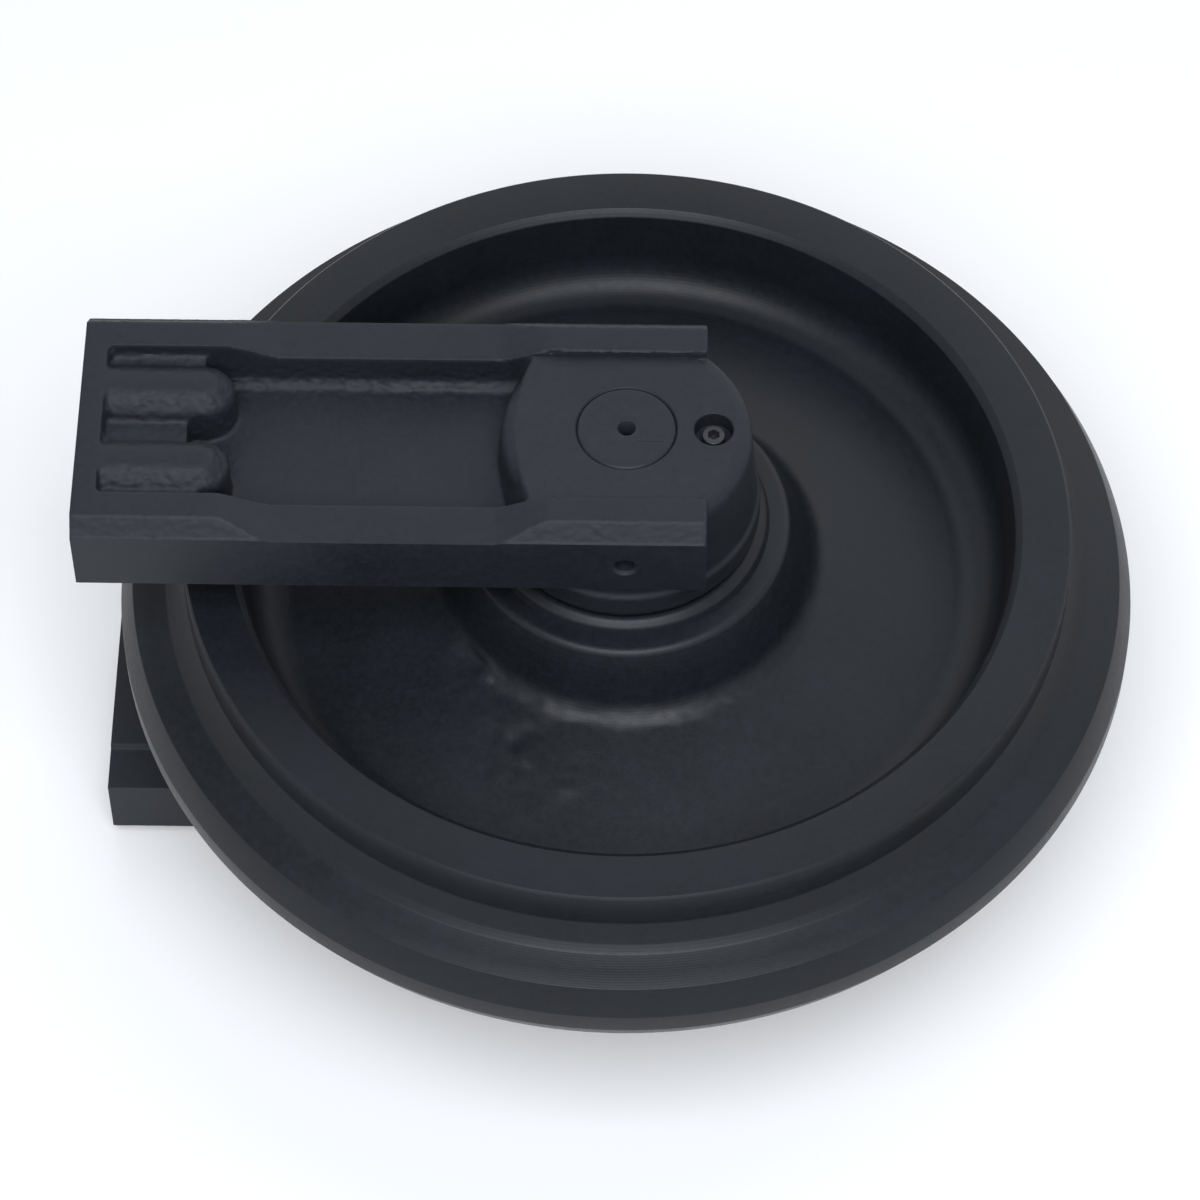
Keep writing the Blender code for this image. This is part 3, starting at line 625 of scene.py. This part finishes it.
shaft_corners = [
    (0, 135.5, 0),
    (2.1, 135.5, 0),
    (2.1, 142.0, 0),
    (5.0, shaft_end, 0.3),
    (SHAFT_R - 0.9, shaft_end, 0.2),
    (SHAFT_R, shaft_end - 0.9, 0.2),
]
for height in (O_RING_HEIGHT, -O_RING_HEIGHT):
    shaft_corners += [
        (SHAFT_R, height + GROOVE_HALF, 0.2),
        (GROOVE_R, height + GROOVE_HALF, 0.3),
        (GROOVE_R, height - GROOVE_HALF, 0.3),
        (SHAFT_R, height - GROOVE_HALF, 0.2),
    ]
shaft_corners += [(SHAFT_R, -shaft_end, 0.9), (0, -shaft_end, 0)]
shaft = turned_piece("ground_shaft", shaft_corners, 144, ground_enamel, closed=False)
for side in (1, -1):
    cut(shaft, pin_hole_tool(side))

# A scriber's mark on the upper end, 14 mm long. Half of its height lies in the steel
work = bmesh.new()
place = Matrix.Translation((12.5 * MM, -8.6 * MM, middle_height + shaft_end * MM))
size = Matrix.Diagonal((14 * MM, 0.35 * MM, 0.3 * MM, 1))
bmesh.ops.create_cube(work, size=1.0, matrix=place @ size)
cut(shaft, as_object(work, "scribed_line"))
coat(shaft, ground_enamel)
finish_shading(shaft)

# %% [markdown]
# ## Pieces that come in pairs
# Each side of the wheel holds the same set: a flanged bush, a face seal made of two iron rings and
# two rubber rings, an O-ring, a cross pin and an oil plug with its washer. They are written once as
# sections and made twice, once upwards and once upside down, in a loop.

# %% Sections of the paired pieces
SEAL_PLANE, LAP_GAP, LIP, RING_LENGTH = 59.5, 0.15, 3.2, 9.8
TORIC_SECTION, TORIC_R = 10.4, 46.5
TORIC_HEIGHT = LAP_GAP + LIP + 0.3 + TORIC_SECTION / 2


def face_ring(side):
    lap = SEAL_PLANE + side * LAP_GAP
    back, end = lap + side * LIP, lap + side * RING_LENGTH
    return [
        (33.0, lap, 0.3),
        (49.0, lap, 0.3),
        (49.0, back, 0.5),
        (41.0, back, 1.2),
        (41.0, end, 0.4),
        (33.0, end, 0.4),
    ]


def round_ring(radius, height, section):
    return arc_points(radius, height, section / 2, 180, -180, 20)[:-1]


def toric(side):
    return round_ring(TORIC_R, SEAL_PLANE + side * TORIC_HEIGHT, TORIC_SECTION)


bush_section = [
    (26.8, 45.0, 0.4),
    (37.3, 45.0, 0.4),
    (37.3, 41.0, 0.3),
    (31.3, 41.0, 0.6),
    (31.3, 6.0, 0.5),
    (26.8, 6.0, 0.5),
]
paired = {
    "bush": (bush_section, bronze, "bronze", "wheel"),
    "turning_seal_ring": (face_ring(-1), lapped_iron, "seal_iron", "wheel"),
    "fixed_seal_ring": (face_ring(1), lapped_iron, "seal_iron", "frame"),
    "turning_toric": (toric(-1), nitrile, "rubber", "wheel"),
    "fixed_toric": (toric(1), nitrile, "rubber", "frame"),
    "shaft_o_ring": (round_ring(25.0, O_RING_HEIGHT, 3.0), nitrile, "rubber", "frame"),
}
print("sections for", ", ".join(paired))

# %% Make them on both sides
finished = []
for side_name, flip in (("upper", 1), ("lower", -1)):
    for piece, (corners, material, slot_name, body) in paired.items():
        name = f"{side_name}_{piece}"
        obj = turned_piece(name + "_fine", corners, 96, material, flip=flip)
        finish_shading(obj)
        finished.append((obj, name, slot_name, body))
print(len(finished), "paired pieces made")

# %% [markdown]
# The plug screws in from above on one side and from below on the other. It is turned upright first,
# its hexagon is cut, and a half turn about the X axis puts the second one on the lower bracket. The
# cross pins lie along Y.

# %% Plugs, washers and pins
PLUG_X, HEXAGON_TOP, HEXAGON_R, HEXAGON_DEPTH = 46.5, 143.5, 3.5, 6
half_turn_x = to_middle @ Matrix.Rotation(math.pi, 4, "X") @ to_middle.inverted()
aside = Matrix.Translation((PLUG_X * MM, 0, 0))


def hexagon_tool():
    top = middle_height + HEXAGON_TOP * MM
    bottom = top - HEXAGON_DEPTH * MM
    size = {"radius1": HEXAGON_R * MM, "radius2": HEXAGON_R * MM, "depth": top - bottom}
    place = Matrix.Translation((0, 0, (bottom + top) / 2))
    work = bmesh.new()
    bmesh.ops.create_cone(work, cap_ends=True, segments=6, matrix=place, **size)
    return as_object(work, "hexagon")


plug_corners = [
    (0, 142.5, 0),
    (6.2, 142.5, 0.7),
    (6.2, 138.6, 0.3),
    (4.9, 138.6, 0.3),
    (4.9, 126.6, 0.8),
    (0, 126.6, 0),
]
washer_corners = [(5.2, 138.3, 0.3), (6.25, 138.3, 0.4), (6.25, 136.8, 0.4), (5.2, 136.8, 0.3)]
pin_corners = [(0, 63.0, 0), (5.0, 63.0, 0.9), (5.0, -63.0, 0.9), (0, -63.0, 0)]
pin_options = {"closed": False, "height": 0.0}
for side_name, flip in (("upper", 1), ("lower", -1)):
    turn = Matrix.Identity(4) if flip == 1 else half_turn_x
    plug = turned_piece(side_name + "_oil_plug_fine", plug_corners, 64, black_steel, closed=False)
    cut(plug, hexagon_tool())
    coat(plug, black_steel)
    plug.data.transform(turn @ aside)
    washer = turned_piece(side_name + "_plug_washer_fine", washer_corners, 64, copper)
    washer.data.transform(turn @ aside)
    pin = turned_piece(side_name + "_cross_pin_fine", pin_corners, 48, pin_steel, **pin_options)
    pin.data.transform(at_pins(flip) @ lie_along_y)
    for obj, node, slot_name in (
        (plug, side_name + "_oil_plug", "plug_steel"),
        (washer, side_name + "_plug_washer", "washer_copper"),
        (pin, side_name + "_cross_pin", "pin_steel"),
    ):
        finish_shading(obj)
        finished.append((obj, node, slot_name, "frame"))

# %% [markdown]
# ## The brackets
# A guide bracket is poured in a sand mould, so its walls are grainy and its inner corners soft. Then
# a few faces are milled: the two sides, the yoke end, the face round the shaft, and all the holes.
# The script follows the same order. It pours: the plain solid of the frame, with its holes filled,
# is remeshed in fine cubes and smoothed, and the skin tree gives it the grain. Then it mills: the
# flat faces and the holes are cut out of that casting, which leaves crisp edges only where the real
# bracket has them.

# %% Patterns for the casting
def joined(name, objects):
    work = bmesh.new()
    for obj in objects:
        work.from_mesh(obj.data)
        bpy.data.objects.remove(obj)
    return as_object(work, name)


def merged_copy(node):
    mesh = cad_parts[node].data.copy()
    work = bmesh.new()
    work.from_mesh(mesh)
    bmesh.ops.remove_doubles(work, verts=work.verts, dist=0.000005)
    bmesh.ops.recalc_face_normals(work, faces=work.faces)
    work.to_mesh(mesh)
    work.free()
    mesh.materials.clear()
    return new_object(node + "_plain", mesh)


def bar_tool(name, outline, low_x, high_x):
    """A closed (y, height) outline made a bar along X."""
    work = bmesh.new()
    near, far = (
        [work.verts.new((x * MM, y * MM, z * MM + middle_height)) for y, z in outline]
        for x in (low_x, high_x)
    )
    work.faces.new(near)
    work.faces.new(far[::-1])
    for k in range(len(outline)):
        work.faces.new([near[k - 1], near[k], far[k], far[k - 1]])
    bmesh.ops.recalc_face_normals(work, faces=work.faces)
    return as_object(work, name)


def box_tool(name, low, high):
    work = bmesh.new()
    low, high = Vector(low) * MM, Vector(high) * MM
    size = Matrix.Diagonal((*(high - low), 1))
    place = Matrix.Translation((low + high) / 2 + Vector((0, 0, middle_height)))
    bmesh.ops.create_cube(work, size=1.0, matrix=place @ size)
    return as_object(work, name)


# %% [markdown]
# The plain solid is made of few flats, so its round forms are poured again with fine steps, a tenth
# of a millimetre proud of it. The soft corners of the mould are added, and the holes are filled.

# %% Pour the casting
SIDE, YOKE_END, BOSS_FACE, RAIL_INNER, POCKET_HALF = 73.0, -292.0, 147.5, 48.0, 47.9
BOLT_Y, BOLT_HALF, BOLT_TOP, BOLT_HEIGHT = 24.8, 16.6, 151.5, 122.0
BOLT_BOSS_END, SHOULDER_AXIS, BAR_END = -227.0, 59.8, -286.0
CORNER_R, CORNER_X = 4.0, -279.5

boss_section = [
    (0, 149.5, 0),
    (56.2, 149.5, 3.0),
    (67.0, 141.0, 8.0),
    (70.6, 93.2, 0.8),
    (72.9, 92.0, 1.0),
    (72.9, 77.0, 1.2),
    (69.0, 77.0, 0.4),
    (69.0, 60.5, 0.8),
    (0, 60.5, 0),
]
boss_core = turned_tool("boss_core", boss_section, 180, to_middle)
shoulder_section = [
    (0, 147.6, 0),
    (120.4, 147.6, 4.0),
    (128.3, 120.0, 5.0),
    (131.0, 112.0, 0),
    (0, 112.0, 0),
]
place = to_middle @ Matrix.Translation((SHOULDER_AXIS * MM, 0, 0))
shoulder_core = turned_tool("shoulder_core", shoulder_section, 240, place)
low, high = (-80, -RAIL_INNER + 0.5, 100), (-40, RAIL_INNER - 0.5, 160)
cut(shoulder_core, box_tool("between_rails", low, high), "INTERSECT")
plain = merged_copy("upper_bracket")
low, high = (-279, -POCKET_HALF, 120.4), (-205, POCKET_HALF, 170)
cut(plain, box_tool("room_for_bolt_bosses", low, high))

fillings = [plain, boss_core, shoulder_core]
floor_outline = [(-9, 118), (9, 118), (9, 138), (-9, 138)]
fillings.append(bar_tool("recess_floor", floor_outline, BAR_END, -235.0))
half_boss = [(7.0, BOLT_TOP, 12.0), (BOLT_HALF, 142.6, 7.0), (BOLT_HALF, 112.0, 0)]
both_sides = [(-r, z, rounding) for r, z, rounding in reversed(half_boss)] + half_boss
wall_foot = [(49.0, 118.0), (49.0, 125.0), (47.0, 123.4), (42.6, 119.7), (42.6, 118.0)]
slot_floor = [(40.0, 112.0), (49.0, 112.0), (49.0, 145.4), (44.4, 142.7), (40.0, 142.4)]
for y in (BOLT_Y, -BOLT_Y):
    # The bolt boss: a ridge along X with a round end
    place = to_middle @ Matrix.Translation((BOLT_BOSS_END * MM, y * MM, 0))
    dome = [(0, BOLT_TOP, 0), *half_boss, (0, 112.0, 0)]
    fillings.append(turned_tool("bolt_boss_dome", dome, 96, place))
    ridge = [(y + p.x, p.y) for p in rounded_section(both_sides)[:-1]]
    fillings.append(bar_tool("bolt_boss_ridge", ridge, BAR_END, BOLT_BOSS_END))
    # A flat ramp of metal along the foot of the pocket's wall, where the mould had a soft corner
    wedge = [(math.copysign(v, y), w) for v, w in wall_foot]
    fillings.append(bar_tool("wall_foot", wedge, -276.0, -52.0))
    # Blocks stepped along a quarter circle. They round the slot's corner at the rail, and fill the
    # corner between the bolt boss's inner side and the end wall
    at_rail, at_boss = math.copysign(POCKET_HALF, y), math.copysign(BOLT_HALF - BOLT_Y, y)
    for corner, way in ((at_rail, -1), (at_boss, 1)):
        inward = math.copysign(1, y) * way
        for step in range(5):
            turn = math.radians(18 * step)
            reach = CORNER_R * (1 - math.sin(turn)) + 0.2
            low_y, high_y = sorted((corner, corner + inward * reach))
            high_x = CORNER_X + CORNER_R * (1 - math.cos(turn)) + 1.2
            block = box_tool("slot_corner", (-281, low_y, 120), (high_x, high_y, 147.3))
            fillings.append(block)
    rising = [(math.copysign(v, y), w) for v, w in slot_floor]
    fillings.append(bar_tool("slot_floor", rising, BAR_END, BOLT_BOSS_END))
    hole_fill = [(0, 0.5, 0), (10.5, 0.5, 0), (10.5, -61.0, 0), (0, -61.0, 0)]
    place = Matrix.Translation((-232.0 * MM, y * MM, middle_height + BOLT_HEIGHT * MM))
    fillings.append(turned_tool("bolt_hole_fill", hole_fill, 24, place @ lie_along_x))
pin_fill = [(0, 71.5, 0), (8.0, 71.5, 0), (8.0, -71.5, 0), (0, -71.5, 0)]
fillings.append(turned_tool("pin_hole_fill", pin_fill, 24, at_pins(1) @ lie_along_y))
casting = joined("bracket_casting", fillings)

remesh = casting.modifiers.new("fine_cubes", "REMESH")
remesh.mode = "VOXEL"
remesh.voxel_size = 1.25 * MM
soften = casting.modifiers.new("soft_corners", "SMOOTH")
soften.factor = 0.5
soften.iterations = 3
poured = evaluated_mesh(casting)
casting.modifiers.clear()
print("poured casting:", len(poured.polygons), "faces")

# %% [markdown]
# The plain solid's rails dip by 10 mm in six straight steps. Here they get the true S-curve. Where
# the sand lay against the metal the skin is rough, most of all along the foot of the pocket's walls.

# %% The rails' curve
RAIL_DIP = 10.0


def dip(points, flat_end, low_end):
    share = np.clip((points - flat_end) / (low_end - flat_end), 0, 1)
    smooth = share**2 * (3 - 2 * share)
    steps = np.linspace(0, 1, 7)
    return RAIL_DIP * (np.interp(share, steps, steps**2 * (3 - 2 * steps)) - smooth)


where = coordinates(poured)
x, y, z = (where - (0, 0, middle_height)).T / MM
on_rail = (np.abs(y) > 47.0) & (z > 139.5)
where[on_rail, 2] += ((dip(x, -38.0, -71.0) + dip(x, -218.0, -185.0)) * MM)[on_rail]
poured.vertices.foreach_set("co", where.ravel())
poured.update()

# %% Grain
z = (where[:, 2] - middle_height) / MM
across = np.abs(y)
radius = np.hypot(x, y)
# The foot of the pocket's walls, the rails' outer slopes, the flanks of the bolt bosses and the
# step from each rail down to the shaft's boss
along_pocket = ramp(-x, 60, 70) * (1 - ramp(-x, 262, 272))
pocket_foot = ramp(z, 118, 120) * (1 - ramp(z, 128, 140)) * along_pocket
pocket_foot *= ramp(across, 36, 42) * (1 - ramp(across, 49, 51))
slope = ramp(across, 63.5, 65) * ramp(z, 141.5, 143.5)
bolt_sides = ramp(-x, 205, 212) * (across < 47.5) * ramp(z, 119, 121)
bolt_sides *= 1 - 0.8 * ramp(z, 150, 151.3)
rail_step = (across > 46.5) * (across < 50.5) * ramp(z, 142, 146) * (np.abs(x) < 46)
grain = 0.22 + 1.3 * pocket_foot + 0.6 * slope + 1.0 * bolt_sides + 1.2 * rail_step
# The skirt that enters the hub is turned, and the crown round the shaft is nearly smooth
grain = np.where((z < 101) & (radius < 75), 0.08, grain)
grain = np.where((radius < 72) & (z > 135) & (across < 47.5), 0.10, grain)
set_skin(poured, grain)
values = {"Depth": 1.7 * MM, "Grain": 3.6 * MM, "Seed": 8.0, "Material": cast_enamel}
rough = run_tree("bracket_casting", poured, skin, **values)

# %% [markdown]
# Where a cutter will pass, some metal has to stand proud first, as on a real casting. Then the
# casting is thinned to fewer faces, and the cutter takes the sides, the ends and the holes.

# %% Metal left for milling
ALLOWANCE = 1.2
where = coordinates(rough)
x, y, z = (where - (0, 0, middle_height)).T / MM
side_metal = (np.abs(y) > SIDE - 0.7) & (z > 100.5)
where[side_metal, 1] += np.sign(where[side_metal, 1]) * ALLOWANCE * MM
end_metal = x < YOKE_END + 0.7
where[end_metal, 0] -= ALLOWANCE * MM
rough.vertices.foreach_set("co", where.ravel())
rough.update()
casting.data = rough
print("left for milling:", int(side_metal.sum()), int(end_metal.sum()), "points")

# %% Mill the faces and bore the holes
PLUG_ROUND, PLUG_SEAT = 10.5, 136.5

thin = casting.modifiers.new("fewer_faces", "DECIMATE")
thin.ratio = 0.55
lighter = evaluated_mesh(casting)
casting.modifiers.clear()
casting.data = lighter
print("casting thinned to", len(lighter.polygons), "faces")

cut(casting, box_tool("sides_and_end", (YOKE_END, -SIDE, 20), (120, SIDE, 200)), "INTERSECT")
low, high = (-66, 0.2 - RAIL_INNER, BOSS_FACE), (90, RAIL_INNER - 0.2, 200)
cut(casting, box_tool("boss_face", low, high))
bore = [
    (0, 152, 0),
    (32.1, 152, 0),
    (26.8, 146.7, 0),
    (26.8, 74.3, 0.5),
    (SEAL_SEAT, 74.3, 1.0),
    (SEAL_SEAT, 50, 0),
    (0, 50, 0),
]
cut(casting, turned_tool("shaft_bore", bore, 144, to_middle))
recess = [
    (0, 152, 0),
    (15.5, 152, 0),
    (PLUG_ROUND, 147.0, 0),
    (PLUG_ROUND, PLUG_SEAT, 0.8),
    (5.2, PLUG_SEAT, 0.3),
    (5.2, 123.0, 0),
    (3.5, 123.0, 0),
    (3.5, 71.0, 0),
    (0, 71.0, 0),
]
cut(casting, turned_tool("plug_recess", recess, 72, to_middle @ aside))
cut(casting, pin_hole_tool(1))
drill = [(0, 63.0, 0), (8.75, 58.0, 0), (8.75, 1.0, 0), (10.75, -1.0, 0), (0, -1.0, 0)]
for y_centre in (BOLT_Y, -BOLT_Y):
    place = (YOKE_END * MM, y_centre * MM, middle_height + BOLT_HEIGHT * MM)
    cut(casting, turned_tool("bolt_hole", drill, 48, Matrix.Translation(place) @ lie_along_x))
facing_out(casting.data)

# %% [markdown]
# The milled faces are flat to a hair, so that is how the script knows them, and they get the
# smoother enamel. The lower bracket is the same casting turned over.

# %% Paint both castings
FLAT, ON_PLANE = 0.9999, 0.01
upper_casting = casting
upper_casting.name = upper_casting.data.name = "upper_bracket_casting"
coat(upper_casting, cast_enamel, milled_enamel)
finish_shading(upper_casting, 38)
for face in upper_casting.data.polygons:
    centre, out = (face.center - Vector((0, 0, middle_height))) / MM, face.normal
    side_cut = abs(out.y) > FLAT and abs(abs(centre.y) - SIDE) < ON_PLANE
    end_cut = out.x < -FLAT and abs(centre.x - YOKE_END) < ON_PLANE
    top_cut = out.z > FLAT and abs(centre.z - BOSS_FACE) < ON_PLANE
    face.material_index = 1 if side_cut or end_cut or top_cut else 0
    face.use_smooth = face.material_index == 0
lower_casting = new_object("lower_bracket_casting", upper_casting.data.copy())
lower_casting.data.transform(half_turn_x)
lower_casting.data.name = lower_casting.name

# %% [markdown]
# ## Hang each piece on its body
# Every piece now rides on the body that carries it and stands for the plain solid of the frame. The
# wheel's body turns, and everything pressed into the hub turns with it.

# %% Ride and replace
finished += [
    (wheel, "idler_wheel", "wheel_paint", "wheel"),
    (shaft, "shaft", "shaft_paint", "frame"),
    (upper_casting, "upper_bracket", "bracket_paint", "frame"),
    (lower_casting, "lower_bracket", "bracket_paint", "frame"),
]
for obj, node, slot_name, body in finished:
    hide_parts(node)
    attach(obj, body)
triangles = sum(len(p.vertices) - 2 for obj, *_ in finished for p in obj.data.polygons)
print(len(finished), "finished pieces,", triangles, "triangles")

# %% [markdown]
# ## Floor, light and camera
# The photograph is a cut-out on white, taken from above with a long lens. A pale floor stands for
# the white. The main light is a soft panel over the camera. A wider and weaker one above and behind
# lays a sheen on the faces that look up.

# %% Floor
def seen_directly(tree):
    """1 for a ray from the camera, a mirror or glass, 0 for scattered light."""
    rays = add_node(tree, "ShaderNodeLightPath").outputs
    mirrored = maths(tree, "MAXIMUM", rays["Is Camera Ray"], rays["Is Glossy Ray"])
    return maths(tree, "MAXIMUM", mirrored, rays["Is Transmission Ray"])


FLOOR_HALF = 6.0  # metres
floor_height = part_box("lower_bracket")[0].z
floor_mesh = bpy.data.meshes.new("studio_floor")
signs = ((-1, -1), (1, -1), (1, 1), (-1, 1))
corners = [(a * FLOOR_HALF, b * FLOOR_HALF, floor_height) for a, b in signs]
floor_mesh.from_pydata(corners, [], [(0, 1, 2, 3)])
floor = new_object("studio_floor", floor_mesh)
floor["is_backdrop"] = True
paper, tree, base = new_material("white_paper")
base.inputs["Base Color"].default_value = linear("#e4e4e4")
base.inputs["Roughness"].default_value = 0.9
lift = add_node(tree, "ShaderNodeEmission", Color=(1, 1, 1, 1), Strength=0.22)
both = add_node(tree, "ShaderNodeAddShader", _0=base.outputs[0], _1=lift.outputs[0])
sides = {"_0": seen_directly(tree), "_1": base.outputs[0], "_2": both.outputs[0]}
mix = add_node(tree, "ShaderNodeMixShader", **sides)
tree.links.new(mix.outputs[0], tree.nodes["Material Output"].inputs["Surface"])
floor_mesh.materials.append(paper)

# %% World
CEILING_FROM, CEILING_FULL = 0.60, 0.72  # how steeply a ray has to rise to meet the dim ceiling
world = bpy.data.worlds.new("studio")
bpy.context.scene.world = world
world.use_nodes = True
tree = world.node_tree
dim = tree.nodes["Background"]
dim.inputs["Color"].default_value = linear("#f2f4f8")
dim.inputs["Strength"].default_value = 0.16
white = add_node(tree, "ShaderNodeBackground", Color=(1, 1, 1, 1), Strength=1.0)
look = add_node(tree, "ShaderNodeNewGeometry").outputs["Incoming"]
rise = maths(tree, "ABSOLUTE", add_node(tree, "ShaderNodeSeparateXYZ", _0=look).outputs["Z"])
limits = {"From_Min": CEILING_FROM, "From_Max": CEILING_FULL, "To_Min": 1.0, "To_Max": 0.0}
backdrop = add_node(tree, "ShaderNodeMapRange", Value=rise, **limits).outputs[0]
share = maths(tree, "MULTIPLY", seen_directly(tree), backdrop)
mix = add_node(tree, "ShaderNodeMixShader", _0=share, _1=dim.outputs[0], _2=white.outputs[0])
tree.links.new(mix.outputs[0], tree.nodes["World Output"].inputs["Surface"])


# %% Lights
def soft_panel(name, place, size, power):
    lamp = bpy.data.lights.new(name, "AREA")
    lamp.shape = "RECTANGLE"
    lamp.size, lamp.size_y = size
    lamp.energy = power
    lamp.color = (0.94, 0.975, 1.04)
    obj = new_object(name, lamp)
    obj.location = place
    aim = Vector((0, 0, middle_height)) - Vector(place)
    obj.rotation_euler = aim.to_track_quat("-Z", "Y").to_euler()


soft_panel("panel_over_the_camera", place=(0.0, -1.7, 3.1), size=(2.6, 2.2), power=130)
soft_panel("panel_above_behind", place=(0.7, 2.0, 2.8), size=(4.6, 3.2), power=46)

# %% [markdown]
# The camera's place was found by fitting circles and edges of the wheel and bracket to the
# photograph: about 2.8 m away, 55.6 degrees above the floor, a 150 mm lens on a 36 mm sensor.

# %% Camera
camera_data = bpy.data.cameras.new("camera")
camera_data.lens = 150.0
camera_data.sensor_width = 36.0
camera_data.clip_start = 0.1
camera_data.clip_end = 50.0
camera = new_object("camera", camera_data)
camera.location = (0.01277, -1.57811, middle_height + 2.29361)
camera.rotation_euler = [math.radians(a) for a in (34.35876, 0.06904, 0.88357)]
bpy.context.scene.camera = camera
bpy.context.scene.view_settings.view_transform = "Standard"

# %% Sizes kept for comparison
visual_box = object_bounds()
for label, low, high in (("CAD", *cad_box), ("visual", *visual_box)):
    print(label, "box in mm:", [round((b - a) / MM, 1) for a, b in zip(low, high)])
